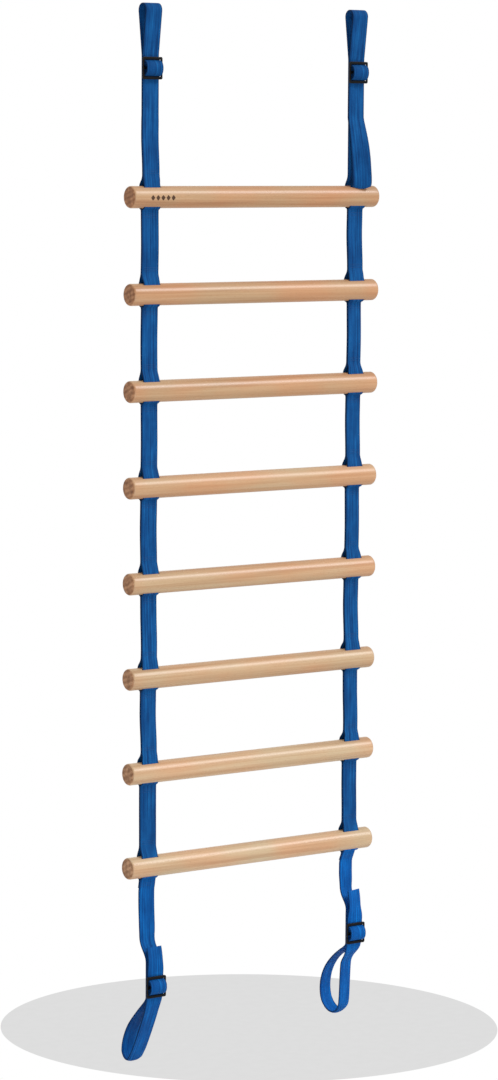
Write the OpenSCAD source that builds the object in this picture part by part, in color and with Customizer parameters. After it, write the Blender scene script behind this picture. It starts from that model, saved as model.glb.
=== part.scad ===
// Rope ladder: eight turned wooden rungs carried by two doubled webbing straps.
// Units are millimetres. The origin is the middle of the hanging axis, +Z is up, the rungs lie along X
// and -Y is the front. Every strap is cut at its fold lines, where its pieces meet in blunt wedges.

/* [Rungs] */
// Diameter of a rung
rung_d = 40; // [38:1:42]
// Length of a rung
rung_len = 550; // [520:10:600]
// Radius on the ends of a rung
rung_edge_r = 5; // [2:1:8]
// Distance from one rung to the next
rung_pitch = 175; // [170:5:200]
// Distance from the hanging axis down to the first rung
first_rung_drop = 333; // [320:1:360]

/* [Webbing] */
// Width of the webbing
web_w = 35; // [30:1:38]
// Thickness of one ply of the webbing
ply_t = 2.4; // [2:0.1:2.4]
// Distance between the middles of the two straps
strap_span = 460; // [420:10:470]
// Radius of the eye that goes over the hanging bar
eye_r = 10.5; // [9:0.5:12]

/* [Slots in the rungs] */
// Distance from the rung's axis to each of the two slots
slot_offset = 8.5; // [8:0.1:9]
// Clearance between the webbing and the walls of its slot
slot_gap = 0.3; // [0.2:0.05:0.4]
// Clearance between the edges of the webbing and the ends of its slot
slot_end_gap = 1.5; // [1:0.5:3]

/* [Slides] */
// Height of a three-bar slide
slide_h = 40; // [38:1:44]
// Width of the side bars
side_bar_w = 3; // [2:0.1:4]
// Thickness of the bars
bar_t = 3.2; // [2.5:0.1:3.5]
// Height of each of the three bars
bar_h = 5; // [4:0.5:6]
// Radius of the outer corners
slide_corner_r = 3; // [1:0.5:4]
// Clearance between the slide and the webbing inside it
slide_gap = 0.35; // [0.3:0.05:0.6]
// Room behind the bars for the turn of webbing
slide_stand_off = 3; // [2.5:0.1:3]
// Depth of the turn of webbing over the centre bar
turn_depth = 12.5; // [8:0.5:14]

/* [Foot loops] */
// Distance from the last rung down to the fold of the foot loops
foot_fold_drop = 50; // [48:1:55]
// Length that a foot slide can travel up its strap
foot_travel = 25; // [15:1:25]

/* [Hidden] */
$fn = 64;
rung_count = 8;
sides = ["left", "right"];

// Half the thickness of two plies lying together
pair_half = ply_t + 0.1;
// Height of a rung's axis
function rung_z(n) = -first_rung_drop - (n - 1) * rung_pitch;
// Height of the fold line above rung n; the first one lies below the slides
first_fold_z = -210;
function fold_z(n) = n == 1 ? first_fold_z : rung_z(n) + rung_pitch / 2;
foot_fold_z = rung_z(rung_count) - foot_fold_drop;
function side_x(s) = s == "left" ? -strap_span / 2 : strap_span / 2;

// A fold's wedge: the tips stay short of the fold line and taper by less than half of what is left
// between two straps folded to 150 degrees
tip_gap = 1.5;
tip_half = 0.3;
taper_len = 10;

// Shape of the strap round a rung, from the rung's axis
slot_outer = slot_offset + ply_t / 2;
slot_inner = slot_offset - ply_t / 2;
split_top = 40;
split_bottom = 27.5;

// Slides: heights of their middles, and the Y of the straps inside them
top_slide_z = -103;
foot_slide_z = [-1778, -1736];
foot_strap_y = [-24, -19];
// Where the plies of the hanging loop come together
loop_close_z = -79;

// Stitched bars: their size, and the heights of the rows from the rung's axis
stitch_w = 27;
stitch_t = 0.5;
stitch_h = 1.4;
stitch_rows = [42.5, 45.5, 48.5, -30, -33, -36];

// Foot loops: the curve of the webbing below the slide, as cubic pieces that share their ends,
// in Y and Z from the strap's middle at the slide's lower edge
left_loop = [
    [1.25, 0], [1.25, -9], [26, -22], [56, -54.5],
    [72, -71.5], [85, -97], [85, -116],
    [85, -132], [70, -141], [62.5, -130],
    [52, -114.5], [3, -26], [-1.25, 0]
];
right_loop = [
    [1.25, 0], [1.25, -10], [48, -22], [73, -57],
    [85, -73], [91, -92], [89, -110],
    [86.5, -132], [72, -147], [56, -147],
    [42, -147], [31, -138], [28.5, -121],
    [26, -104], [25.5, -59], [23, -44],
    [20.5, -29], [-1.25, -18], [-1.25, 0]
];
foot_loops = [left_loop, right_loop];
curve_steps = 8;

// Height of the bend above each foot loop's straight part
bend_rise = [46, 42];

// Height of the end of each loose strap end above its slide's middle
strap_end_rise = [73, 82];

// One cubic curve piece
function cubic(p, t) =
    pow(1 - t, 3) * p[0] + 3 * t * pow(1 - t, 2) * p[1] + 3 * t * t * (1 - t) * p[2] + pow(t, 3) * p[3];
// All the cubic pieces of a list, without the first point
function curve(p) = [
    for (k = [0:3:len(p) - 4]) for (i = [1:curve_steps])
        cubic([p[k], p[k + 1], p[k + 2], p[k + 3]], i / curve_steps)
];

// Turn of webbing over the centre bar, in Y and Z from the middle of a slide on a strap at y = 0
turn_y = -pair_half - slide_gap - ply_t / 2;
function turn_path(c = slide_h / 2 - bar_h - 0.5, out_y = turn_y - turn_depth) = concat(
    [[turn_y, -slide_h / 2], [turn_y, -c]],
    curve([
        [turn_y, -c], [turn_y, 2.5 - c], [out_y, -c],
        [out_y, 0], [out_y, c], [turn_y, c - 2.5], [turn_y, c]
    ]),
    [[turn_y, slide_h / 2]]
);

// Unit vector from a to b, and the normal of a path at point i
function unit(v) = v / norm(v);
function heading(p, i) =
    i == 0 ? unit(p[1] - p[0]) :
    i == len(p) - 1 ? unit(p[i] - p[i - 1]) :
    unit(unit(p[i] - p[i - 1]) + unit(p[i + 1] - p[i]));
function half_turn_cos(p, i) =
    i == 0 || i == len(p) - 1 ? 1 : heading(p, i) * unit(p[i + 1] - p[i]);
function beside(p, i, d) =
    let (h = heading(p, i), c = half_turn_cos(p, i)) p[i] + [-h[1], h[0]] * d / c;
// Outline of a strip of half thickness h[i] along a path
function strip(p, h) = concat(
    [for (i = [0:len(p) - 1]) beside(p, i, h[i])],
    [for (i = [len(p) - 1:-1:0]) beside(p, i, -h[i])]
);

// Mirrors a half outline in Y, to close it
function both_halves(p) = concat(p, [for (i = [len(p) - 1:-1:0]) [-p[i][0], p[i][1]]]);

// Extrudes a Y-Z outline along X across the webbing, centred on x
module across(x, w = web_w) {
    translate([x - w / 2, 0, 0]) rotate([90, 0, 90]) linear_extrude(height = w) children();
}

// Rung: a dowel with rounded ends and two slots at each end
module rung_blank() {
    rotate([0, 90, 0]) rotate_extrude() {
        translate([0, -rung_len / 2 + rung_edge_r]) square([rung_d / 2, rung_len - 2 * rung_edge_r]);
        translate([0, -rung_len / 2]) square([rung_d / 2 - rung_edge_r, rung_len]);
        for (e = [-1, 1]) {
            intersection() {
                translate([rung_d / 2 - rung_edge_r, e * (rung_len / 2 - rung_edge_r)])
                    circle(r = rung_edge_r);
                translate([0, -rung_len / 2]) square([rung_d / 2, rung_len]);
            }
        }
    }
}

module rung_slot(x, y) {
    half_w = ply_t / 2 + slot_gap;
    reach = web_w / 2 + slot_end_gap - half_w;
    translate([x, y, -rung_d]) linear_extrude(height = 2 * rung_d) {
        square([2 * reach, 2 * half_w], center = true);
        translate([-reach, 0]) circle(r = half_w);
        translate([reach, 0]) circle(r = half_w);
    }
}

module rung(n) {
    color("burlywood") translate([0, 0, rung_z(n)]) difference() {
        rung_blank();
        for (s = sides) for (y = [-slot_offset, slot_offset]) rung_slot(side_x(s), y);
    }
}

// Two plies that part above the rung, pass through its slots and join again below it
module strap(s, n) {
    up = fold_z(n) - rung_z(n);
    down = n == rung_count ? foot_fold_drop : rung_pitch / 2;
    outer = [
        [tip_half, up - tip_gap], [pair_half, up - tip_gap - taper_len],
        [pair_half, split_top], [slot_outer, 21.5], [slot_outer, -20.2],
        [6.2, -23], [pair_half, -split_bottom],
        [pair_half, tip_gap + taper_len - down], [tip_half, tip_gap - down]
    ];
    inner = [
        [0.05, split_top - 1], [slot_inner, 21], [slot_inner, -18.8],
        [4.6, -21.2], [0.05, 1.8 - split_bottom]
    ];
    color("royalblue") across(side_x(s)) translate([0, rung_z(n)]) difference() {
        polygon(both_halves(outer));
        polygon(both_halves(inner));
    }
}

// Rows of thread that hold the two plies together above and below a rung
module stitching(n) {
    color("midnightblue")
        for (s = sides) for (z = stitch_rows) for (f = [-1, 1])
            translate([side_x(s), f * (pair_half + stitch_t / 2), rung_z(n) + z])
                cube([stitch_w, stitch_t, stitch_h], center = true);
}

// Eye over the hanging bar, whose plies come together at the slide and run on to the first fold
module hanging_loop(s) {
    outer_r = eye_r + ply_t;
    // Tangent from the point where the plies close to the outside of the eye
    d = norm([pair_half, loop_close_z]);
    a = acos(outer_r / d) + atan(pair_half / -loop_close_z);
    outer_touch = [outer_r * sin(a), -outer_r * cos(a)];
    inner_touch = [eye_r * sin(a), -eye_r * cos(a)];
    slope = (outer_touch[0] - pair_half) / (outer_touch[1] - loop_close_z);
    inner_end_z = inner_touch[1] - (inner_touch[0] - 0.05) / slope;
    color("royalblue") across(side_x(s)) difference() {
        union() {
            circle(r = outer_r, $fn = 128);
            polygon(both_halves([
                outer_touch, [pair_half, loop_close_z],
                [pair_half, first_fold_z + tip_gap + taper_len], [tip_half, first_fold_z + tip_gap]
            ]));
        }
        circle(r = eye_r, $fn = 128);
        polygon(both_halves([inner_touch, [0.05, inner_end_z]]));
    }
}

// Three-bar slide in front of a strap whose middle plane is y = 0
module slide_plate(half_w) {
    square([2 * half_w, slide_h - 2 * slide_corner_r], center = true);
    square([2 * (half_w - slide_corner_r), slide_h], center = true);
    for (x = [-1, 1]) for (z = [-1, 1])
        translate([x * (half_w - slide_corner_r), z * (slide_h / 2 - slide_corner_r)])
            circle(r = slide_corner_r);
}

module slide_body() {
    half_open = web_w / 2 + slide_gap;
    near = pair_half + slide_gap + slide_stand_off;
    window_h = (slide_h - 3 * bar_h) / 2;
    translate([0, -near, 0]) rotate([90, 0, 0]) linear_extrude(height = bar_t) difference() {
        slide_plate(half_open + side_bar_w);
        for (f = [-1, 1]) translate([0, f * (bar_h + window_h) / 2])
            square([2 * half_open, window_h], center = true);
    }
}

module top_slide(s) {
    color("dimgray") translate([side_x(s), 0, top_slide_z]) slide_body();
}

// Turn of webbing that holds a top slide, and moves with it
module top_turn(s) {
    path = [for (p = turn_path()) p + [0, top_slide_z]];
    half = [for (p = path) ply_t / 2];
    color("royalblue") across(side_x(s)) polygon(strip(path, half));
}

module foot_slide(s) {
    k = s == "left" ? 0 : 1;
    color("dimgray") translate([side_x(s), foot_strap_y[k], foot_slide_z[k]]) slide_body();
}

// Single ply from the last fold, through the slide, round the loop and back up inside the slide
module foot_loop(s) {
    k = s == "left" ? 0 : 1;
    y = foot_strap_y[k];
    low = foot_slide_z[k] - slide_h / 2;
    high = foot_slide_z[k] + slide_h / 2 + foot_travel;
    rise = bend_rise[k];
    start = [
        [0, foot_fold_z - tip_gap], [0, foot_fold_z - tip_gap - 5], [0, high + rise]
    ];
    feed_y = y + 1.25;
    bend = curve([[0, high + rise], [0, high + 0.55 * rise], [feed_y, high + 0.4 * rise], [feed_y, high]]);
    loop = [for (p = concat([foot_loops[k][0]], curve(foot_loops[k]))) p + [y, low]];
    path = concat(start, bend, loop, [[y - 1.25, high]]);
    half = [for (i = [0:len(path) - 1]) i == 0 ? tip_half : ply_t / 2];
    color("royalblue") across(side_x(s)) polygon(strip(path, half));
}

// Turn over the foot slide's centre bar and the loose end above it, which move with the slide
module strap_end(s) {
    k = s == "left" ? 0 : 1;
    middle = [foot_strap_y[k], foot_slide_z[k]];
    foot = slide_h / 2 + 2;
    top = strap_end_rise[k];
    path = [
        for (p = concat(turn_path(), [[turn_y, foot]], curve([
            [turn_y, foot], [turn_y - 1.5, foot + 18], [turn_y - 1.5, top - 20], [turn_y + 5, top]
        ]))) p + middle
    ];
    half = [for (p = path) ply_t / 2];
    color("royalblue") across(side_x(s)) polygon(strip(path, half));
}

for (s = sides) {
    hanging_loop(s);
    top_slide(s);
    top_turn(s);
    foot_loop(s);
    foot_slide(s);
    strap_end(s);
}
for (n = [1:rung_count]) {
    rung(n);
    stitching(n);
    for (s = sides)
        strap(s, n);
}
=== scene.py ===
"""Rope ladder of beech rungs on blue webbing: the looks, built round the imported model. Units are metres."""
import math

import bmesh
import bpy
import numpy as np
from mathutils import Matrix, Vector


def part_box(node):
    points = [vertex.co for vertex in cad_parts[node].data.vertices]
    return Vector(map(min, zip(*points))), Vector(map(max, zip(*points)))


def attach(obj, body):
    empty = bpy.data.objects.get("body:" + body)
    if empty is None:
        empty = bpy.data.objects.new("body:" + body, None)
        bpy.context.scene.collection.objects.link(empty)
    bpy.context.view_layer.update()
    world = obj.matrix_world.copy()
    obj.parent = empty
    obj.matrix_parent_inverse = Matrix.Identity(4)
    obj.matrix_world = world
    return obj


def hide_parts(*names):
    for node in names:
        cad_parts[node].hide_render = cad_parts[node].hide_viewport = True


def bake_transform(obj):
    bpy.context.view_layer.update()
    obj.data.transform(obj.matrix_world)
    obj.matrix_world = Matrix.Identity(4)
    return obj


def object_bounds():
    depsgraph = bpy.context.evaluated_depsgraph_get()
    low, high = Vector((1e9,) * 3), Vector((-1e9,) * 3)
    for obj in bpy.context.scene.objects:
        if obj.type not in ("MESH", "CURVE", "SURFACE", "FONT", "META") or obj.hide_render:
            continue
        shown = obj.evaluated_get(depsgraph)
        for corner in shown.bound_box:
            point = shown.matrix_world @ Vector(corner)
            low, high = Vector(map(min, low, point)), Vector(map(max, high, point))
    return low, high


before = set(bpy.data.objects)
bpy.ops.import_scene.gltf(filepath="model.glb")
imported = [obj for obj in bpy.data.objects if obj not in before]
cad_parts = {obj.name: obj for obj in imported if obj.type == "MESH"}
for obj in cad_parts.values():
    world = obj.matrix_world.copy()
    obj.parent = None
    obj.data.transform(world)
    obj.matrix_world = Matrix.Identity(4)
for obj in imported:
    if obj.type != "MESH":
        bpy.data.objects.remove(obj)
cad_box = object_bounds()

MM = 0.001
SIDES = ("left", "right")
RUNGS = 8

# Places and sizes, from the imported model
rung_boxes = [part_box(f"rung_{n}") for n in range(1, RUNGS + 1)]
rung_z = [(low.z + high.z) / 2 for low, high in rung_boxes]
rung_r = (rung_boxes[0][1].z - rung_boxes[0][0].z) / 2
rung_half = (rung_boxes[0][1].x - rung_boxes[0][0].x) / 2
strap_box = {side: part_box(f"{side}_strap_1") for side in SIDES}
strap_x = {side: (low.x + high.x) / 2 for side, (low, high) in strap_box.items()}
web_half = (strap_box["left"][1].x - strap_box["left"][0].x) / 2

# The webbing: half the thickness of a ply, and Y of one ply where it is doubled and in its slot
PLY = 1.2 * MM
PAIR_Y = 1.25 * MM
SLOT_Y = 8.5 * MM
EYE_R = 10.5 * MM + PLY
LOOP_CLOSE_Z = -79 * MM
# The slides: half their height, the height of a bar, how far their two faces are in front of the middle
# of the webbing behind them, half the width of a window and of the whole, and the corners' radius
SLIDE_HALF_H = 20 * MM
SLIDE_BAR_H = 5 * MM
SLIDE_NEAR = 5.85 * MM
SLIDE_FAR = 9.05 * MM
SLIDE_IN = 17.85 * MM
SLIDE_OUT = 20.85 * MM
SLIDE_CORNER = 3 * MM
# How far the foot slides go up, how high the webbing's bend above them is, and how far down the
# lower edges of the top slides get
FOOT_TRAVEL = 25 * MM
BEND_RISE = {"left": 46 * MM, "right": 42 * MM}
TOP_SLIDE_LOW = -185 * MM

# Turn of webbing over a slide's centre bar: half of it, in Y and Z millimetres from the slide's middle
TURN_Y = -4.05
TURN_OUT_Y = -16.55
TURN_Z = 14.5

# Foot loops: cubic pieces that share their ends, in Y and Z millimetres from the strap's middle line
# at the slide's lower edge
FOOT_LOOP = {
    "left": [
        (1.25, 0), (1.25, -9), (26, -22), (56, -54.5),
        (72, -71.5), (85, -97), (85, -116),
        (85, -132), (70, -141), (62.5, -130),
        (52, -114.5), (3, -26), (-1.25, 0),
    ],
    "right": [
        (1.25, 0), (1.25, -10), (48, -22), (73, -57),
        (85, -73), (91, -92), (89, -110),
        (86.5, -132), (72, -147), (56, -147),
        (42, -147), (31, -138), (28.5, -121),
        (26, -104), (25.5, -59), (23, -44),
        (20.5, -29), (-1.25, -18), (-1.25, 0),
    ],
}

# How the plies hang above each rung: turn about Z in degrees, sway in millimetres, and how far forward
# of the rung's axis they part, in millimetres
TWIST = {"left": (-2, -5, 1, 2, 1, 4, 4, -2), "right": (6, 2, 9, 6, 8, 5, 7, 5)}
SWAY = {"left": (0.5, -1, 1, -0.8, 1.2, -1, 0.8, 0), "right": (0, 1, -1.2, 0.8, -1, 1.2, -0.6, 0)}
LEAN = {"left": (3.5, 0, 0, 0.3, 1, 2.5, 3.5, 0.5), "right": (0, 2.5, 0.3, 1.5, 0.5, 2.5, 2.5, 1.5)}
# How far above and below a rung's axis the turn begins
OVER_RUNG = 21 * MM
UNDER_RUNG = 18.5 * MM


# ---------------------------------------------------------------- curves

def smooth(t):
    t = np.clip(t, 0, 1)
    return t * t * (3 - 2 * t)


def cubic(pieces, steps=12):
    """Points along cubic pieces that share their ends."""
    p = np.array(pieces, float)
    t = np.linspace(0, 1, steps + 1)[:, None]
    out = [p[:1]]
    for k in range(0, len(p) - 3, 3):
        a, b, c, d = p[k:k + 4]
        out.append(((1 - t) ** 3 * a + 3 * t * (1 - t) ** 2 * b + 3 * t * t * (1 - t) * c + t ** 3 * d)[1:])
    return np.concatenate(out)


def rounded(points, cut, steps=6):
    """A polyline whose inner corners are replaced by curves that start a distance of cut before them."""
    p = np.array(points, float)
    t = np.linspace(0, 1, steps + 1)[:, None]
    out = [p[:1]]
    for a, b, c in zip(p, p[1:], p[2:]):
        before = (a - b) * min(0.5, cut / np.linalg.norm(a - b))
        after = (c - b) * min(0.5, cut / np.linalg.norm(c - b))
        out.append((1 - t) ** 2 * (b + before) + 2 * t * (1 - t) * b + t * t * (b + after))
    out.append(p[-1:])
    return np.concatenate(out)


def evenly(points, step):
    """The same line with points at equal steps."""
    p = np.array(points, float)
    s = np.concatenate([[0], np.cumsum(np.linalg.norm(np.diff(p, axis=0), axis=1))])
    keep = np.concatenate([[True], np.diff(s) > 1e-7])
    count = max(2, int(round(s[-1] / step)) + 1)
    at = np.linspace(0, s[-1], count)
    return np.stack([np.interp(at, s[keep], p[keep, k]) for k in (0, 1)], axis=1)


def length_of(path):
    return np.linalg.norm(np.diff(np.asarray(path), axis=0), axis=1).sum()


# ---------------------------------------------------------------- meshes

def mesh_object(name, verts, faces, uvs=None):
    """A smooth-shaded object from lists of points and faces; uvs are one pair for each point."""
    mesh = bpy.data.meshes.new(name)
    mesh.from_pydata([tuple(v) for v in verts], [], faces)
    mesh.validate()
    if uvs is not None:
        layer = mesh.uv_layers.new(name="webbing")
        corner = np.zeros(len(mesh.loops), np.int32)
        mesh.loops.foreach_get("vertex_index", corner)
        layer.data.foreach_set("uv", np.asarray(uvs, np.float32)[corner].ravel())
    mesh.shade_smooth()
    mesh.set_sharp_from_angle(angle=math.radians(45))
    obj = bpy.data.objects.new(name, mesh)
    bpy.context.scene.collection.objects.link(obj)
    return obj


def webbing_section():
    """Across and out positions round the webbing, with a thin groove inside each selvedge."""
    edge = [(0, 0), (0.25, 0.62), (0.9, 0.93), (2.1, 0.97), (2.9, 0.82), (3.7, 0.97)]
    top = [(-web_half + a * MM, b * PLY) for a, b in edge]
    top += [(a * MM, PLY) for a in (-11, -7.5, -3.8, 0, 3.8, 7.5, 11)]
    top += [(web_half - a * MM, b * PLY) for a, b in reversed(edge)]
    under = [(-a, -b) for a, b in top[1:-1]]
    return np.array(top + under)


SECTION = webbing_section()


class Webbing:
    """Collects lengths of webbing for one object."""

    def __init__(self, side):
        self.side = side
        self.verts, self.faces, self.uvs = [], [], []

    def add(self, path, step=2.5 * MM, shape=None, along=0.0):
        """One length along a Y-Z path. shape(x, y, z, path, s) moves its points; x is from the strap's
        middle, and s is the length along the path."""
        path = evenly(path, step)
        run = np.gradient(path, axis=0)
        run /= np.linalg.norm(run, axis=1)[:, None]
        normal = np.stack([-run[:, 1], run[:, 0]], axis=1)
        s = along + np.concatenate([[0], np.cumsum(np.linalg.norm(np.diff(path, axis=0), axis=1))])
        x = np.tile(SECTION[:, 0], (len(path), 1))
        y = path[:, :1] + normal[:, :1] * SECTION[:, 1]
        z = path[:, 1:] + normal[:, 1:] * SECTION[:, 1]
        if shape is not None:
            x, y, z = shape(x, y, z, path, s)
        first, ring = len(self.verts), len(SECTION)
        self.verts += list(np.stack([x + strap_x[self.side], y, z], axis=-1).reshape(-1, 3))
        self.uvs += [(u, v) for u in s for v in SECTION[:, 0]]
        for i in range(len(path) - 1):
            a = first + i * ring
            self.faces += [
                (a + k, a + (k + 1) % ring, a + ring + (k + 1) % ring, a + ring + k) for k in range(ring)
            ]
        last = first + (len(path) - 1) * ring
        self.faces.append(tuple(range(first + ring - 1, first - 1, -1)))
        self.faces.append(tuple(range(last, last + ring)))

    def make(self, name):
        return mesh_object(name, self.verts, self.faces, self.uvs)


def turn_about(x, y, middle_y, angle):
    """X and Y of points turned about Z round the strap's middle line at middle_y."""
    dy = y - middle_y
    return x * np.cos(angle) - dy * np.sin(angle), middle_y + dy * np.cos(angle) + x * np.sin(angle)


def hang(side, n):
    """Shape of doubled webbing above rung n: a little turn and sway that fade out close to the rungs."""
    turn = math.radians(TWIST[side][n - 1])
    sway = SWAY[side][n - 1] * MM
    forward = LEAN[side][n - 1] * MM
    top_z = TOP_SLIDE_LOW if n == 1 else rung_z[n - 2] - UNDER_RUNG
    bottom_z = rung_z[n - 1] + OVER_RUNG
    top_fade = (12 if n == 1 else 5) * MM
    bottom_fade = 12 * MM
    # The lean comes in over the first height, goes out over the second, and ends at the third
    lean_in, lean_out, lean_end = 14 * MM, 70 * MM, 95 * MM

    def shape(x, y, z, path, s):
        a = turn * smooth((top_z - z) / top_fade) * smooth((z - bottom_z) / bottom_fade)
        bow = np.sin(np.pi * np.clip((z - bottom_z) / (top_z - bottom_z), 0, 1)) ** 2
        lean = smooth((z - bottom_z) / lean_in) * smooth((bottom_z + lean_end - z) / lean_out)
        new_x, new_y = turn_about(x, y, 0, a)
        return new_x, new_y + sway * bow - forward * lean, z

    return shape


# ---------------------------------------------------------------- materials

def new_material(name):
    material = bpy.data.materials.new(name)
    material.use_nodes = True
    tree = material.node_tree
    return material, tree, tree.nodes["Principled BSDF"]


def node(tree, kind, **settings):
    made = tree.nodes.new(kind)
    for key, value in settings.items():
        setattr(made, key, value)
    return made


def math_node(tree, operation, a, b=None, c=None):
    made = node(tree, "ShaderNodeMath", operation=operation)
    for k, value in enumerate((a, b, c)):
        if value is None:
            continue
        if isinstance(value, (int, float)):
            made.inputs[k].default_value = value
        else:
            tree.links.new(value, made.inputs[k])
    return made.outputs[0]


def ramp(tree, factor, stops):
    made = node(tree, "ShaderNodeValToRGB")
    elements = made.color_ramp.elements
    while len(elements) < len(stops):
        elements.new(0.5)
    for element, (place, colour) in zip(elements, stops):
        element.position = place
        element.color = (*colour, 1)
    tree.links.new(factor, made.inputs[0])
    return made.outputs[0]


def mix_colour(tree, factor, a, b, blend="MIX"):
    made = node(tree, "ShaderNodeMix", data_type="RGBA", blend_type=blend)
    for socket, value in ((made.inputs[0], factor), (made.inputs[6], a), (made.inputs[7], b)):
        if isinstance(value, (int, float)):
            socket.default_value = value
        elif isinstance(value, tuple):
            socket.default_value = (*value, 1)
        else:
            tree.links.new(value, socket)
    return made.outputs[2]


def bump(tree, height, strength, distance):
    made = node(tree, "ShaderNodeBump")
    made.inputs["Strength"].default_value = strength
    made.inputs["Distance"].default_value = distance
    tree.links.new(height, made.inputs["Height"])
    return made.outputs[0]


def noise_at(tree, vector, scale, detail, distortion=0.0):
    """Noise over a scaled vector, so that it can be drawn out along one axis."""
    mapping = node(tree, "ShaderNodeMapping")
    mapping.inputs["Scale"].default_value = scale
    tree.links.new(vector, mapping.inputs[0])
    made = node(tree, "ShaderNodeTexNoise")
    made.inputs["Scale"].default_value = 1
    made.inputs["Detail"].default_value = detail
    made.inputs["Distortion"].default_value = distortion
    tree.links.new(mapping.outputs[0], made.inputs["Vector"])
    return made.outputs[0]


def webbing_material(name, tone):
    """Blue herringbone webbing: fine twill in narrow bands with painted shade in its hollows, streaks along
    its length, painted shade on the selvedges.
    """
    material, tree, shader = new_material(name)
    uv = node(tree, "ShaderNodeUVMap", uv_map="webbing")
    split = node(tree, "ShaderNodeSeparateXYZ")
    tree.links.new(uv.outputs[0], split.inputs[0])
    along, across = split.outputs[0], split.outputs[1]
    band = 2.9 * MM
    pick = 1.3 * MM
    slant = math_node(tree, "PINGPONG", across, band)
    phase = math_node(tree, "ADD", along, slant)
    twill = math_node(tree, "SINE", math_node(tree, "MULTIPLY", phase, 2 * math.pi / pick))
    twill = math_node(tree, "MULTIPLY_ADD", twill, 0.5, 0.5)
    rib = math_node(tree, "SINE", math_node(tree, "MULTIPLY", across, 2 * math.pi / band))
    rib = math_node(tree, "MULTIPLY_ADD", rib, 0.5, 0.5)
    yarn = math_node(tree, "SINE", math_node(tree, "MULTIPLY", across, 2 * math.pi / (0.72 * MM)))
    weave = math_node(tree, "MULTIPLY_ADD", twill, 0.6, math_node(tree, "MULTIPLY_ADD", yarn, 0.12, 0.15))
    weave = math_node(tree, "MULTIPLY_ADD", rib, 0.25, weave)

    streak = noise_at(tree, uv.outputs[0], (9, 330, 1), 4)
    cloud = noise_at(tree, uv.outputs[0], (28, 60, 1), 2)
    base = ramp(tree, streak, [
        (0.30, (0.0025, 0.052, 0.200)), (0.5, (0.0045, 0.098, 0.330)), (0.70, (0.012, 0.165, 0.470))
    ])
    base = mix_colour(tree, 1.0, base, tone, "MULTIPLY")
    tint = ramp(tree, cloud, [(0.35, (0.72, 0.80, 0.84)), (0.65, (1.18, 1.10, 1.08))])
    base = mix_colour(tree, 1.0, base, tint, "MULTIPLY")
    # Painted shade in the weave's hollows: where the weave is low, the blue is darkened
    weave_hollow_shade = mix_colour(tree, 1.0, base, (0.45, 0.55, 0.62), "MULTIPLY")
    base = mix_colour(tree, math_node(tree, "MULTIPLY_ADD", weave, 0.75, 0.35), weave_hollow_shade, base)
    # Painted shade along both selvedges: the blue darkens to near black over the last millimetres of the
    # width
    edge = math_node(tree, "SUBTRACT", math_node(tree, "ABSOLUTE", across), web_half - 2.4 * MM)
    edge = math_node(tree, "MULTIPLY", edge, 1 / (2.2 * MM))
    edge.node.use_clamp = True
    base = mix_colour(tree, math_node(tree, "MULTIPLY", edge, 0.8), base, (0.001, 0.014, 0.060))
    tree.links.new(base, shader.inputs["Base Color"])
    rough = math_node(tree, "MULTIPLY_ADD", streak, 0.25, 0.55)
    tree.links.new(rough, shader.inputs["Roughness"])
    shader.inputs["Specular IOR Level"].default_value = 0.10
    shader.inputs["Sheen Weight"].default_value = 0.03
    shader.inputs["Sheen Roughness"].default_value = 0.45
    shader.inputs["Sheen Tint"].default_value = (0.35, 0.6, 1.0, 1)
    tree.links.new(bump(tree, weave, 0.55, 0.35 * MM), shader.inputs["Normal"])
    return material


def thread_material():
    """Bonded thread with a fine twist."""
    material, tree, shader = new_material("blue_thread")
    place = node(tree, "ShaderNodeTexCoord")
    wave = node(tree, "ShaderNodeTexWave", wave_type="BANDS", bands_direction="DIAGONAL")
    wave.inputs["Scale"].default_value = 900
    tree.links.new(place.outputs["Object"], wave.inputs["Vector"])
    base = ramp(tree, wave.outputs["Fac"], [(0.2, (0.006, 0.055, 0.21)), (0.8, (0.018, 0.12, 0.38))])
    tree.links.new(base, shader.inputs["Base Color"])
    shader.inputs["Roughness"].default_value = 0.5
    tree.links.new(bump(tree, wave.outputs["Fac"], 0.5, 0.1 * MM), shader.inputs["Normal"])
    return material


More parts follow.
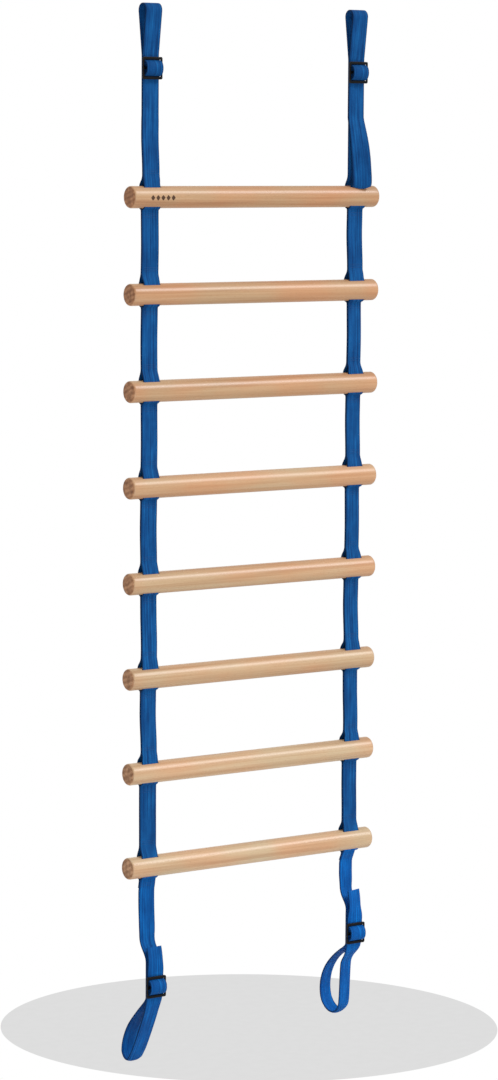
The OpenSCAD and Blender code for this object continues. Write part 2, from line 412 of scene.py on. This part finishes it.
def beech_material():
    """Sanded, clear oiled beech: straight grain, ray flecks, a painted highlight that makes the lower rungs
    paler, darker end grain.
    """
    material, tree, shader = new_material("beech")
    place = node(tree, "ShaderNodeTexCoord").outputs["Object"]
    bands = noise_at(tree, place, (1.6, 55, 62), 3, 0.4)
    lines = noise_at(tree, place, (5, 420, 460), 2)
    patch = noise_at(tree, place, (7, 16, 16), 2)
    flecks = noise_at(tree, place, (260, 1500, 1500), 1)
    grain = math_node(tree, "MULTIPLY_ADD", lines, 0.35, math_node(tree, "MULTIPLY", bands, 0.75))
    base = ramp(tree, grain, [
        (0.36, (0.520, 0.275, 0.138)), (0.50, (0.630, 0.368, 0.195)),
        (0.60, (0.680, 0.425, 0.235)), (0.74, (0.740, 0.500, 0.300))
    ])
    tint = ramp(tree, patch, [(0.35, (1.05, 0.92, 0.86)), (0.65, (0.97, 1.04, 1.06))])
    base = mix_colour(tree, 1.0, base, tint, "MULTIPLY")
    # Painted highlight down the ladder: the wood is a little darker at the top rung and paler towards the
    # lowest rung
    position = node(tree, "ShaderNodeSeparateXYZ")
    tree.links.new(place, position.inputs[0])
    lower = node(tree, "ShaderNodeMapRange")
    lower.inputs["From Min"].default_value = rung_z[0]
    lower.inputs["From Max"].default_value = rung_z[-1]
    tree.links.new(position.outputs[2], lower.inputs["Value"])
    tone = ramp(tree, lower.outputs[0], [
        (0.0, (0.97, 0.92, 0.90)), (0.45, (1.02, 1.03, 1.05)), (1.0, (1.12, 1.26, 1.40))
    ])
    base = mix_colour(tree, 1.0, base, tone, "MULTIPLY")
    fleck = ramp(tree, flecks, [(0.60, (0, 0, 0)), (0.70, (1, 1, 1))])
    base = mix_colour(tree, math_node(tree, "MULTIPLY", fleck, 0.32), base, (0.40, 0.20, 0.095))

    ring_map = node(tree, "ShaderNodeMapping")
    ring_map.inputs["Rotation"].default_value = (0.35, 0, 0)
    tree.links.new(place, ring_map.inputs[0])
    rings = node(tree, "ShaderNodeTexWave", wave_type="BANDS", bands_direction="Z")
    rings.inputs["Scale"].default_value = 34
    rings.inputs["Distortion"].default_value = 5
    rings.inputs["Detail"].default_value = 3
    rings.inputs["Detail Scale"].default_value = 0.8
    tree.links.new(ring_map.outputs[0], rings.inputs["Vector"])
    end_base = ramp(tree, rings.outputs["Fac"], [
        (0.1, (0.415, 0.188, 0.085)), (0.9, (0.570, 0.285, 0.140))
    ])
    # The end grain gets the same painted highlight down the ladder
    end_base = mix_colour(tree, 1.0, end_base, tone, "MULTIPLY")
    stain = ramp(tree, noise_at(tree, place, (90, 110, 110), 3), [
        (0.38, (0.72, 0.67, 0.63)), (0.62, (1.20, 1.22, 1.24))
    ])
    end_base = mix_colour(tree, 1.0, end_base, stain, "MULTIPLY")
    pores = noise_at(tree, place, (900, 900, 900), 1)
    pores = ramp(tree, pores, [(0.5, (0, 0, 0)), (0.7, (0.5, 0.5, 0.5))])
    end_base = mix_colour(tree, pores, end_base, (0.14, 0.055, 0.026))
    end = node(tree, "ShaderNodeAttribute", attribute_name="end_grain").outputs["Fac"]
    base = mix_colour(tree, end, base, end_base)
    tree.links.new(base, shader.inputs["Base Color"])
    rough = math_node(tree, "MULTIPLY_ADD", grain, 0.20, 0.24)
    rough = math_node(tree, "MULTIPLY_ADD", end, 0.25, rough)
    tree.links.new(rough, shader.inputs["Roughness"])
    shader.inputs["Specular IOR Level"].default_value = 0.5
    height = math_node(tree, "MULTIPLY_ADD", fleck, -0.3, lines)
    tree.links.new(bump(tree, height, 0.22, 0.25 * MM), shader.inputs["Normal"])
    return material


def metal_material():
    """Black coated steel, worn bright on its edges."""
    material, tree, shader = new_material("black_slide")
    place = node(tree, "ShaderNodeTexCoord")
    noise = node(tree, "ShaderNodeTexNoise")
    noise.inputs["Scale"].default_value = 420
    noise.inputs["Detail"].default_value = 5
    tree.links.new(place.outputs["Object"], noise.inputs["Vector"])
    edges = node(tree, "ShaderNodeNewGeometry").outputs["Pointiness"]
    worn = math_node(tree, "MULTIPLY_ADD", noise.outputs[0], 0.12, edges)
    worn = ramp(tree, worn, [(0.600, (0, 0, 0)), (0.640, (1, 1, 1))])
    base = ramp(tree, noise.outputs[0], [(0.3, (0.0015, 0.0015, 0.002)), (0.7, (0.005, 0.005, 0.006))])
    base = mix_colour(tree, math_node(tree, "MULTIPLY", worn, 0.35), base, (0.09, 0.085, 0.08))
    tree.links.new(base, shader.inputs["Base Color"])
    tree.links.new(math_node(tree, "MULTIPLY_ADD", noise.outputs[0], 0.2, 0.34), shader.inputs["Roughness"])
    shader.inputs["Specular IOR Level"].default_value = 0.22
    tree.links.new(bump(tree, noise.outputs[0], 0.15, 0.2 * MM), shader.inputs["Normal"])
    return material


def burnt_material():
    """Charred wood of the branded mark."""
    material, tree, shader = new_material("burnt_mark")
    place = node(tree, "ShaderNodeTexCoord")
    noise = node(tree, "ShaderNodeTexNoise")
    noise.inputs["Scale"].default_value = 900
    tree.links.new(place.outputs["Object"], noise.inputs["Vector"])
    base = ramp(tree, noise.outputs[0], [(0.35, (0.045, 0.020, 0.010)), (0.7, (0.16, 0.075, 0.035))])
    tree.links.new(base, shader.inputs["Base Color"])
    shader.inputs["Roughness"].default_value = 0.8
    tree.links.new(bump(tree, noise.outputs[0], 0.3, 0.2 * MM), shader.inputs["Normal"])
    return material


webbing = webbing_material("blue_webbing", (1, 1, 1))
foot_webbing = {
    "left": webbing_material("blue_left_foot_webbing", (0.55, 1.18, 1.28)),
    "right": webbing_material("blue_right_foot_webbing", (0.45, 1.48, 1.65)),
}
thread = thread_material()
beech = beech_material()
black = metal_material()
burnt = burnt_material()


def finish_piece(obj, material, nodes=()):
    obj.data.materials.clear()
    obj.data.materials.append(material)
    if nodes:
        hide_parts(*nodes)
    return obj


# ---------------------------------------------------------------- rungs

def rung_mesh():
    """A dowel on the X axis with rounded ends and its four slots; end_grain is 1 on the flat ends."""
    # Radius of the rounded ends, number of points round the dowel, and radii of two rings on a flat end
    edge_r = 5 * MM
    around = 96
    inner_r, outer_r = 5 * MM, 10 * MM
    arc = [math.radians(a) for a in range(0, 91, 10)]
    edge_x, edge_y = rung_half - edge_r, rung_r - edge_r
    ends = [(edge_x + edge_r * math.cos(a), edge_y + edge_r * math.sin(a)) for a in arc]
    slot_half = web_half + 1.5 * MM
    beside_slot = slot_half + 4 * MM
    breaks = [x + d for x in (-strap_x["left"], strap_x["left"]) for d in (-beside_slot, beside_slot)]
    middle = [(x, rung_r) for x in sorted(breaks + [0.1, 0, -0.1], reverse=True)]
    profile = [(rung_half, inner_r), (rung_half, outer_r)] + ends + middle
    profile += [(-x, r) for x, r in reversed(ends)] + [(-rung_half, outer_r), (-rung_half, inner_r)]
    angles = [2 * math.pi * k / around for k in range(around)]
    verts = [(x, r * math.cos(a), r * math.sin(a)) for x, r in profile for a in angles]
    faces = []
    for ring in range(0, (len(profile) - 1) * around, around):
        for k in range(around):
            j = (k + 1) % around
            faces.append((ring + k, ring + around + k, ring + around + j, ring + j))
    last = (len(profile) - 1) * around
    verts += [(rung_half, 0, 0), (-rung_half, 0, 0)]
    hub = len(verts) - 2
    faces += [(hub, k, (k + 1) % around) for k in range(around)]
    faces += [(hub + 1, last + (k + 1) % around, last + k) for k in range(around)]
    blank = mesh_object("rung_blank", verts, faces)

    wall = PLY + 0.3 * MM
    cutters = []
    for side in SIDES:
        for y in (-SLOT_Y, SLOT_Y):
            reach = slot_half - wall
            arc = [math.radians(a) for a in range(-90, 91, 15)]
            outline = [(reach + wall * math.cos(a), wall * math.sin(a)) for a in arc]
            outline += [(-x, -b) for x, b in outline]
            count = len(outline)
            points = [(strap_x[side] + x, y + b, z) for z in (-2 * rung_r, 2 * rung_r) for x, b in outline]
            sides = [(k, (k + 1) % count, count + (k + 1) % count, count + k) for k in range(count)]
            caps = [tuple(range(count - 1, -1, -1)), tuple(range(count, 2 * count))]
            cutters.append(mesh_object("slot_cutter", points, sides + caps))
    for cutter in cutters:
        cut = blank.modifiers.new("slot", "BOOLEAN")
        cut.operation = "DIFFERENCE"
        cut.solver = "EXACT"
        cut.object = cutter
    bpy.context.view_layer.update()
    mesh = bpy.data.meshes.new_from_object(blank.evaluated_get(bpy.context.evaluated_depsgraph_get()))
    for obj in cutters + [blank]:
        bpy.data.objects.remove(obj)
    mesh.shade_smooth()
    mesh.set_sharp_from_angle(angle=math.radians(35))
    end = mesh.attributes.new("end_grain", "FLOAT", "POINT")
    whole, fade = 1.2 * MM, 1.6 * MM
    for k, vert in enumerate(mesh.vertices):
        in_from_end = rung_half - abs(vert.co.x)
        end.data[k].value = 1.0 if in_from_end < whole else max(0.0, 1 - (in_from_end - whole) / fade)
    return mesh


def burnt_mark(name, z):
    """Row of five small diamonds burnt in the front of a rung."""
    verts, faces = [], []
    first_x, pitch = -0.2355, 11 * MM
    half_w, half_h = 4.6 * MM, 5.6 * MM
    # How far the middle of a diamond stands out, how far its rim is sunk, and how far below the rung's
    # axis the row is
    out, sunk, low = 0.12 * MM, 0.02 * MM, 1 * MM
    steps = 8
    row = steps + 1
    for k in range(5):
        centre_x = first_x + pitch * k
        first = len(verts)
        for i in range(row):
            for j in range(row):
                a = (i / steps - 0.5) + (j / steps - 0.5)
                b = (i / steps - 0.5) - (j / steps - 0.5)
                angle = (b * half_h - low) / rung_r
                r = rung_r + (out if 0 < i < steps and 0 < j < steps else -sunk)
                verts.append((centre_x + a * half_w, -r * math.cos(angle), z + r * math.sin(angle)))
        for i in range(steps):
            for j in range(steps):
                p = first + i * row + j
                faces.append((p, p + 1, p + row + 1, p + row))
    return mesh_object(name, verts, faces)


one_rung = rung_mesh()
for n, z in enumerate(rung_z, 1):
    mesh = one_rung.copy()
    mesh.transform(Matrix.Translation((0, 0, z)))
    rung = bpy.data.objects.new(f"rung_{n}_dowel", mesh)
    bpy.context.scene.collection.objects.link(rung)
    finish_piece(rung, beech, [f"rung_{n}"])
    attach(rung, f"step_{n}")
mark = finish_piece(burnt_mark("rung_1_mark", rung_z[0]), burnt)
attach(mark, "step_1")


# ---------------------------------------------------------------- straps between the rungs

# A ply's path out of a slot: how far it is from the rung's axis in Y, and its Z above or below it in mm
ABOVE = [(SLOT_Y, 0.3), (SLOT_Y, 19.5), (PAIR_Y, 36.5)]
BELOW = [(PAIR_Y, -24.2), (2.4 * MM, -21.9), (7.5 * MM, -20.2), (SLOT_Y, -17.2), (SLOT_Y, -0.3)]


def above(n, f):
    """Path from the slot of rung n up to where its plies have closed; f is -1 for the front ply."""
    return [(f * y, rung_z[n - 1] + z * MM) for y, z in ABOVE]


def below(n, f):
    """Path from where the plies under rung n part up to its slot."""
    return [(f * y, rung_z[n - 1] + z * MM) for y, z in BELOW]


# Half the length of webbing that bends at a fold, and how far before other corners its curves start
CORNER = 4 * MM
EYE_CORNER = 5 * MM
for side in SIDES:
    for n in range(2, RUNGS + 1):
        strap = Webbing(side)
        for f in (-1, 1):
            path = rounded(above(n, f) + below(n - 1, f), CORNER)
            strap.add(path, shape=hang(side, n), along=0.37 * n + 0.11 * f)
        obj = finish_piece(strap.make(f"{side}_webbing_{n}"), webbing, [f"{side}_strap_{n}"])
        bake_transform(obj)


# ---------------------------------------------------------------- hanging loops

def eye():
    """The eye's round path, from the point where the front ply meets it to where the back ply does."""
    span = math.hypot(PAIR_Y, LOOP_CLOSE_Z)
    a = math.acos(EYE_R / span) + math.atan(PAIR_Y / -LOOP_CLOSE_Z)
    angles = np.linspace(-a, -2 * math.pi + a, 40)
    return [(EYE_R * math.sin(b), -EYE_R * math.cos(b)) for b in angles]


# The slack ply: where it is loose no more and over what height its looseness grows, its turn, its
# shift to the right, how much wider it spreads, and how far its middle dips over the rung
SLACK_TOP = 149 * MM
SLACK_GROWS = 84 * MM
SLACK_TURN = math.radians(20)
SLACK_SHIFT = 3.2 * MM
SLACK_SPREAD = 0.07
SLACK_DIP = 4.2 * MM


def slack_front():
    """Front ply that bows forward above rung 1 and dips over its front before it enters its slot."""
    rel = [
        (-8.5, 0.3), (-8.5, 13), (-8.7, 17.3), (-10.6, 19.4), (-14.6, 18.6), (-18.4, 21), (-19.4, 32),
        (-16.4, 58), (-13.6, 80), (-10.6, 100), (-7.2, 118), (-4.0, 133), (-1.7, 144), (-1.25, 149),
        (-1.25, 212),
    ]
    return [(y * MM, rung_z[0] + z * MM) for y, z in rel]


def slack_shape(x, y, z, path, s):
    """The slack ply turns towards the left front, and the middle of its width dips over the rung."""
    path_y, path_z = path[:, :1], path[:, 1:] - rung_z[0]
    loose = smooth((SLACK_TOP - path_z) / SLACK_GROWS) ** 0.7
    # Close to the rung the ply is loose only where it has left its slot
    out_of_slot = smooth((-path_y - 9 * MM) / (6 * MM))
    loose = loose * np.where(path_z > 30 * MM, 1, out_of_slot)
    turn = SLACK_TURN * loose
    # It dips where it is in front of the rung and low
    near_rung = smooth((rung_z[0] + 50 * MM - z) / (25 * MM))
    dip = SLACK_DIP * smooth((-path_y - 12.5 * MM) / (4 * MM)) * near_rung
    dy = y - path_y
    new_x = x * np.cos(turn) * (1 + SLACK_SPREAD * loose) + dy * np.sin(turn) + SLACK_SHIFT * loose
    new_y = path_y + dy * np.cos(turn) - x * np.sin(turn)
    return new_x, new_y, z - dip * (1 - (x / web_half) ** 2)


for side in SIDES:
    loop = Webbing(side)
    shape = hang(side, 1)
    head = eye()
    back = rounded([head[-1], (PAIR_Y, LOOP_CLOSE_Z)] + above(1, 1)[::-1], EYE_CORNER)
    if side == "left":
        front = rounded(above(1, -1) + [(-PAIR_Y, LOOP_CLOSE_Z), head[0]], EYE_CORNER)
        loop.add(np.concatenate([front, head[1:-1], back]), shape=shape)
    else:
        # A cut longer than any piece makes one curve, which touches each piece at its middle
        slack = rounded(slack_front(), 1.0)
        front = rounded([slack[-1], (-PAIR_Y, LOOP_CLOSE_Z), head[0]], EYE_CORNER)
        slack_length = length_of(slack)
        whole = np.concatenate([slack, front[1:], head[1:-1], back])
        hung = shape

        def shape(x, y, z, path, s):
            """The slack ply in its own shape, the ply behind it as it hangs, and the eye as it is."""
            slack_x, slack_y, slack_z = slack_shape(x, y, z, path, s)
            in_slack = (s < slack_length)[:, None]
            hung_x, hung_y, _ = hung(x, y, z, path, s)
            behind = (path[:, :1] > 0) & ~in_slack
            new_x = np.where(in_slack, slack_x, np.where(behind, hung_x, x))
            new_y = np.where(in_slack, slack_y, np.where(behind, hung_y, y))
            return new_x, new_y, np.where(in_slack, slack_z, z)

        loop.add(whole, shape=shape)
    nodes = [f"{side}_hanging_loop", f"{side}_strap_1"]
    obj = finish_piece(loop.make(f"{side}_hanging_webbing"), webbing, nodes)
    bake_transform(obj)


# ---------------------------------------------------------------- foot loops

slide_middle = {}
for side in SIDES:
    for place in ("top", "foot"):
        low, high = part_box(f"{side}_{place}_slide")
        slide_middle[side, place] = Vector((strap_x[side], high.y + SLIDE_NEAR, (low.z + high.z) / 2))

# Turn about Z in degrees of the foot loops, which shows their opening from the front, and of the
# loose ends
FOOT_TURN = {"left": 8, "right": 19}
TAIL_TURN = {"left": 7, "right": 16}
# How much of the loose end's turn remains near the last rung, and how far back the webbing hangs there
FOOT_TURN_KEPT = {"left": 0.1, "right": 0.6}
FOOT_SWAY = {"left": 3 * MM, "right": 8 * MM}
# How far the edges of a foot loop rise at its bottom, and over what height
FOOT_LIFT = 4 * MM
FOOT_LIFT_H = 28 * MM


def tail_turn(side, z):
    """How far the webbing above a foot slide is turned at a height from the slide's middle, in radians."""
    starts, takes = SLIDE_HALF_H + 8 * MM, 26 * MM
    return math.radians(TAIL_TURN[side]) * smooth((z - starts) / takes)


def foot_path(side):
    """Front ply of the last rung down to the slide, the foot loop, and its end behind the slide."""
    y, z = slide_middle[side, "foot"].yz
    low, high = z - SLIDE_HALF_H, z + SLIDE_HALF_H + FOOT_TRAVEL
    rise = BEND_RISE[side]
    single = [(-PAIR_Y, rung_z[-1] - 38 * MM), (0, rung_z[-1] - 45 * MM), (0, high + rise)]
    start = rounded(below(RUNGS, -1)[::-1] + single, CORNER)
    feed_y = y + PAIR_Y
    bend = cubic([(0, high + rise), (0, high + 0.55 * rise), (feed_y, high + 0.4 * rise), (feed_y, high)])
    loop = cubic(FOOT_LOOP[side]) * MM + np.array([y, low])
    before = np.concatenate([start, bend[1:]])
    return before, loop, [(y - PAIR_Y, high)]


def strap_turn(side, z):
    """How far the single webbing between the last rung and the foot slide is turned, in radians."""
    near_rung = smooth((rung_z[-1] - UNDER_RUNG - z) / (5 * MM))
    kept = FOOT_TURN_KEPT[side]
    # Heights from the slide's middle: where the turn has faded, and over what height it does
    fade_end, fade = 110 * MM, 40 * MM
    fading = kept + (1 - kept) * smooth((slide_middle[side, "foot"].z + fade_end - z) / fade)
    return tail_turn(side, z - slide_middle[side, "foot"].z) * near_rung * fading


def turned(x, y, z, path, side, loop_turn=0.0):
    """Points turned about the strap's own middle. They go back a little under the last rung, and where
    the loose end stands in front they go back enough to give it room."""
    above_slide = strap_turn(side, z)
    angle = loop_turn + above_slide
    # The bow grows over the first height under the rung, and goes out over the second, up to the third
    bow_in, bow_out, bow_end = 24 * MM, 75 * MM, 115 * MM
    below_rung = rung_z[-1] - 20 * MM - z
    bow = FOOT_SWAY[side] * smooth(below_rung / bow_in) * smooth((bow_end - below_rung) / bow_out)
    # The room ends a little above the loose end's tip
    room_end, room_out = 105 * MM, 45 * MM
    beside_end = smooth((slide_middle[side, "foot"].z + room_end - z) / room_out)
    room = web_half * np.sin(above_slide) * beside_end
    new_x, new_y = turn_about(x, y, path[:, :1], angle)
    return new_x, new_y + bow + room, z


for side in SIDES:
    before, loop, after = foot_path(side)
    whole = np.concatenate([before, loop, after])
    loop_from = length_of(np.concatenate([before, loop[:1]]))
    loop_length = length_of(loop)
    turn = math.radians(FOOT_TURN[side])

    def shape(x, y, z, path, s):
        """The loop turns over its first fifth and back over its last tenth, and its lowest edges rise."""
        t = (s - loop_from) / loop_length
        a = (turn * smooth(t / 0.2) * smooth((1 - t) / 0.1))[:, None]
        near_bottom = smooth((path[:, 1].min() + FOOT_LIFT_H - z) / FOOT_LIFT_H)
        lift = FOOT_LIFT * (np.abs(x) / web_half) ** 2.5 * near_bottom
        return turned(x, y, z + lift, path, side, a)

    def rear_shape(x, y, z, path, s):
        return turned(x, y, z, path, side)

    foot = Webbing(side)
    foot.add(whole, step=1.5 * MM, shape=shape)
    back = below(RUNGS, 1)[::-1] + [(PAIR_Y, rung_z[-1] - 39.5 * MM)]
    foot.add(rounded(back, CORNER), shape=rear_shape, along=3)
    obj = foot.make(f"{side}_foot_webbing")
    finish_piece(obj, foot_webbing[side], [f"{side}_foot_loop"])
    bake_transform(obj)


# ---------------------------------------------------------------- slides and the webbing wrapped on them

def corners(hx, hz, r, centre_z=0.0):
    """Outline of a rectangle with rounded corners, as a list of X-Z points."""
    points = []
    for sx, sz, first in ((1, 1, 0), (-1, 1, 90), (-1, -1, 180), (1, -1, 270)):
        for step in range(7):
            a = math.radians(first + 15 * step)
            points.append((sx * (hx - r) + r * math.cos(a), centre_z + sz * (hz - r) + r * math.sin(a)))
    return points


def slide_object(name, centre):
    """Flat three-bar slide with rounded corners and two windows."""
    bm = bmesh.new()
    window_h = (SLIDE_HALF_H * 2 - SLIDE_BAR_H * 3) / 4
    window_z = SLIDE_BAR_H / 2 + window_h
    edges, rims = [], []
    outlines = [corners(SLIDE_OUT, SLIDE_HALF_H, SLIDE_CORNER)]
    outlines += [corners(SLIDE_IN, window_h, 1 * MM, f * window_z) for f in (-1, 1)]
    for outline in outlines:
        rim = [bm.verts.new((x, -SLIDE_FAR, z)) for x, z in outline]
        rims.append(rim)
        edges += [bm.edges.new((a, b)) for a, b in zip(rim, rim[1:] + rim[:1])]
    bmesh.ops.triangle_fill(bm, edges=edges, use_beauty=True)
    front = list(bm.faces)
    back = {v: bm.verts.new((v.co.x, -SLIDE_NEAR, v.co.z)) for rim in rims for v in rim}
    for face in front:
        bm.faces.new([back[v] for v in reversed(face.verts)])
    for rim in rims:
        for a, b in zip(rim, rim[1:] + rim[:1]):
            bm.faces.new((a, b, back[b], back[a]))
    bmesh.ops.recalc_face_normals(bm, faces=bm.faces)
    sharp = [e for e in bm.edges if len(e.link_faces) == 2 and e.calc_face_angle() > math.radians(60)]
    bmesh.ops.bevel(bm, geom=sharp, offset=0.7 * MM, segments=3, profile=0.6, affect="EDGES")
    bmesh.ops.translate(bm, verts=bm.verts, vec=centre)
    mesh = bpy.data.meshes.new(name)
    bm.to_mesh(mesh)
    bm.free()
    mesh.shade_smooth()
    mesh.set_sharp_from_angle(angle=math.radians(45))
    obj = bpy.data.objects.new(name, mesh)
    bpy.context.scene.collection.objects.link(obj)
    return obj


def turn_path():
    """The turn over the centre bar from the slide's lower edge to its upper one."""
    half = [(TURN_OUT_Y, 0), (TURN_OUT_Y, TURN_Z), (TURN_Y, TURN_Z - 2.5), (TURN_Y, TURN_Z)]
    pieces = [(y, -z) for y, z in half[:0:-1]] + half
    high = SLIDE_HALF_H / MM
    return np.concatenate([[(TURN_Y, -high)], cubic(pieces), [(TURN_Y, high)]]) * MM


for side in SIDES:
    for place in ("top", "foot"):
        centre = slide_middle[side, place]
        slide = slide_object(f"{side}_{place}_buckle", centre)
        finish_piece(slide, black, [f"{side}_{place}_slide"])
        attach(slide, f"{side}_{place}_adjuster")
        path = turn_path()
        shape = None
        if place == "foot":
            # The loose end leans forward a little, and its tip comes back
            root = SLIDE_HALF_H / MM + 2
            tip = (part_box(f"{side}_strap_end")[1].z - centre.z) / MM
            tail = cubic([
                (TURN_Y, root), (TURN_Y - 1.5, root + 18), (TURN_Y - 1.5, tip - 20), (TURN_Y + 5, tip)
            ])
            path = np.concatenate([path, tail * MM])

            def shape(x, y, z, path, s):
                return *turn_about(x, y, path[:, :1], tail_turn(side, z - centre.z)), z

        wrap = Webbing(side)
        wrap.add(path + np.array([centre.y, centre.z]), step=1.5 * MM, shape=shape, along=7)
        if place == "top":
            obj = wrap.make(f"{side}_top_wrap")
            finish_piece(obj, webbing, [f"{side}_top_turn"])
        else:
            obj = wrap.make(f"{side}_loose_end")
            finish_piece(obj, foot_webbing[side], [f"{side}_strap_end"])
        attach(obj, f"{side}_{place}_adjuster")


# ---------------------------------------------------------------- stitching

# Heights of the sewn rows from a rung's axis in millimetres, the distance from one stitch to the next,
# the stitches' places from the strap's middle, and how far each reaches to both sides of its place
ROWS = (42.5, 45.5, 48.5, -30, -33, -36)
STITCH = 3.0 * MM
PLACES = range(-4, 5)
REACH = 0.42


def stitch(verts, faces, a, b, out):
    """One thread stitch from a to b, a small arch that lies on the webbing; out is the face's normal."""
    axis = (b - a).normalized()
    length = (b - a).length
    side_way = axis.cross(out)
    r = 0.32 * MM
    first = len(verts)
    rings, around = 5, 6
    for i in range(rings):
        t = i / (rings - 1)
        size = r * (0.35 + 0.65 * math.sin(math.pi * (0.12 + 0.76 * t)))
        middle = a + axis * (length * t) + out * (0.22 * MM * math.sin(math.pi * t) - 0.05 * MM)
        for k in range(around):
            c = 2 * math.pi * k / around
            verts.append(middle + side_way * (size * math.cos(c)) + out * (size * math.sin(c)))
    for i in range(rings - 1):
        for k in range(around):
            j = (k + 1) % around
            p = first + i * around
            faces.append((p + k, p + j, p + around + j, p + around + k))
    faces.append(tuple(range(first + around - 1, first - 1, -1)))
    faces.append(tuple(range(first + (rings - 1) * around, first + rings * around)))


for n in range(1, RUNGS + 1):
    verts, faces = [], []
    for side in SIDES:
        for row in ROWS:
            z = rung_z[n - 1] + row * MM
            span = n if row > 0 else n + 1
            hung = hang(side, span) if span <= RUNGS else None
            for f in (-1, 1):
                # The slack ply isn't sewn to the one behind it
                if side == "right" and n == 1 and row > 0:
                    continue
                y = f * (PAIR_Y + PLY)
                ply = np.array([[f * PAIR_Y, z]])
                for k in PLACES:
                    ends = []
                    for e in (-REACH, REACH):
                        point = np.array([[(k + e) * STITCH]]), np.array([[y]]), np.array([[z]])
                        moved = hung(*point, ply, None) if hung else turned(*point, ply, side)
                        end_x, end_y, end_z = (value.item() for value in moved)
                        ends.append(Vector((strap_x[side] + end_x, end_y, end_z)))
                    across = (ends[1] - ends[0]).normalized()
                    stitch(verts, faces, *ends, Vector((across.y, -across.x, 0)) * (1 if f < 0 else -1))
    obj = mesh_object(f"rung_{n}_stitches", verts, faces)
    finish_piece(obj, thread, [f"rung_{n}_stitching"])
    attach(obj, f"step_{n}")


# ---------------------------------------------------------------- floor, light and camera

def painted_shadow_floor_material():
    """Pale grey floor whose even grey for the camera is a painted shadow under the ladder, and a soft
    reflector for everything else.
    """
    material, tree, shader = new_material("pale_floor_painted_shadow")
    output = tree.nodes["Material Output"]
    noise = node(tree, "ShaderNodeTexNoise")
    noise.inputs["Scale"].default_value = 40
    # Painted shadow: the even pale grey stands in for the shadow beneath the ladder
    grey = ramp(tree, noise.outputs[0], [(0.3, (0.722, 0.722, 0.722)), (0.7, (0.735, 0.735, 0.735))])
    shown = node(tree, "ShaderNodeEmission")
    tree.links.new(grey, shown.inputs[0])
    rays = node(tree, "ShaderNodeLightPath")
    mixed = node(tree, "ShaderNodeMixShader")
    shader.inputs["Base Color"].default_value = (0.75, 0.75, 0.75, 1)
    shader.inputs["Roughness"].default_value = 0.9
    tree.links.new(rays.outputs["Is Camera Ray"], mixed.inputs[0])
    tree.links.new(shader.outputs[0], mixed.inputs[1])
    tree.links.new(shown.outputs[0], mixed.inputs[2])
    tree.links.new(mixed.outputs[0], output.inputs[0])
    return material


def painted_shadow_floor_disc(centre, half_x, half_y, turn):
    """An oval floor in the grey of a painted shadow, turned about Z."""
    count = 160
    verts = [Vector((0, 0, 0))]
    for k in range(count):
        a = 2 * math.pi * k / count
        verts.append(Vector((half_x * math.cos(a), half_y * math.sin(a), 0)))
    verts = [Matrix.Rotation(turn, 3, "Z") @ v + Vector(centre) for v in verts]
    faces = [(0, 1 + k, 1 + (k + 1) % count) for k in range(count)]
    disc = mesh_object("floor", verts, faces)
    disc.data.materials.append(painted_shadow_floor_material())


# The camera's turn about Z, which the floor has too, and how far the floor is below the ladder
YAW = math.radians(35)
FLOOR_DROP = 18 * MM
FLOOR_MIDDLE = (0.140, 0.198)
FLOOR_HALF = (0.486, 0.419)
painted_shadow_floor_disc((*FLOOR_MIDDLE, cad_box[0].z - FLOOR_DROP), *FLOOR_HALF, -YAW)

world = bpy.data.worlds.new("studio")
bpy.context.scene.world = world
world.use_nodes = True
tree = world.node_tree
tree.nodes["Background"].inputs[0].default_value = (1, 1, 1, 1)
tree.nodes["Background"].inputs[1].default_value = 0.52
white = node(tree, "ShaderNodeBackground")
white.inputs[0].default_value = (1, 1, 1, 1)
white.inputs[1].default_value = 1.0
rays = node(tree, "ShaderNodeLightPath")
mixed = node(tree, "ShaderNodeMixShader")
tree.links.new(rays.outputs["Is Camera Ray"], mixed.inputs[0])
tree.links.new(tree.nodes["Background"].outputs[0], mixed.inputs[1])
tree.links.new(white.outputs[0], mixed.inputs[2])
tree.links.new(mixed.outputs[0], tree.nodes["World Output"].inputs[0])


def sun(name, towards, strength, size_deg):
    """A distant soft light; towards is the direction from the ladder to the light."""
    light = bpy.data.lights.new(name, "SUN")
    light.energy = strength
    light.angle = math.radians(size_deg)
    obj = bpy.data.objects.new(name, light)
    obj.rotation_mode = "QUATERNION"
    obj.rotation_quaternion = Vector(towards).to_track_quat("Z", "Y")
    bpy.context.scene.collection.objects.link(obj)


sun("key_light", (0.57, -0.505, 0.648), 1.4, 20)
sun("front_fill", (-0.25, -1.0, -0.55), 0.75, 60)
sun("rear_fill", (0.2, 1.0, 0.1), 0.4, 60)

CAMERA_PLACE = Vector((-3.673, -5.236, -0.239))
pitch, roll = math.radians(6.5), math.radians(0.4)
look = Vector((math.sin(YAW) * math.cos(pitch), math.cos(YAW) * math.cos(pitch), -math.sin(pitch)))
level = Vector((math.cos(YAW), -math.sin(YAW), 0))
up = level.cross(look)
right = level * math.cos(roll) + up * math.sin(roll)
top = up * math.cos(roll) - level * math.sin(roll)
camera = bpy.data.cameras.new("camera")
camera.sensor_width = 36
camera.lens = 115.5
camera_object = bpy.data.objects.new("camera", camera)
camera_object.matrix_world = Matrix((
    (right.x, top.x, -look.x, CAMERA_PLACE.x),
    (right.y, top.y, -look.y, CAMERA_PLACE.y),
    (right.z, top.z, -look.z, CAMERA_PLACE.z),
    (0, 0, 0, 1),
))
bpy.context.scene.collection.objects.link(camera_object)
bpy.context.scene.camera = camera_object
bpy.context.scene.view_settings.view_transform = "Standard"
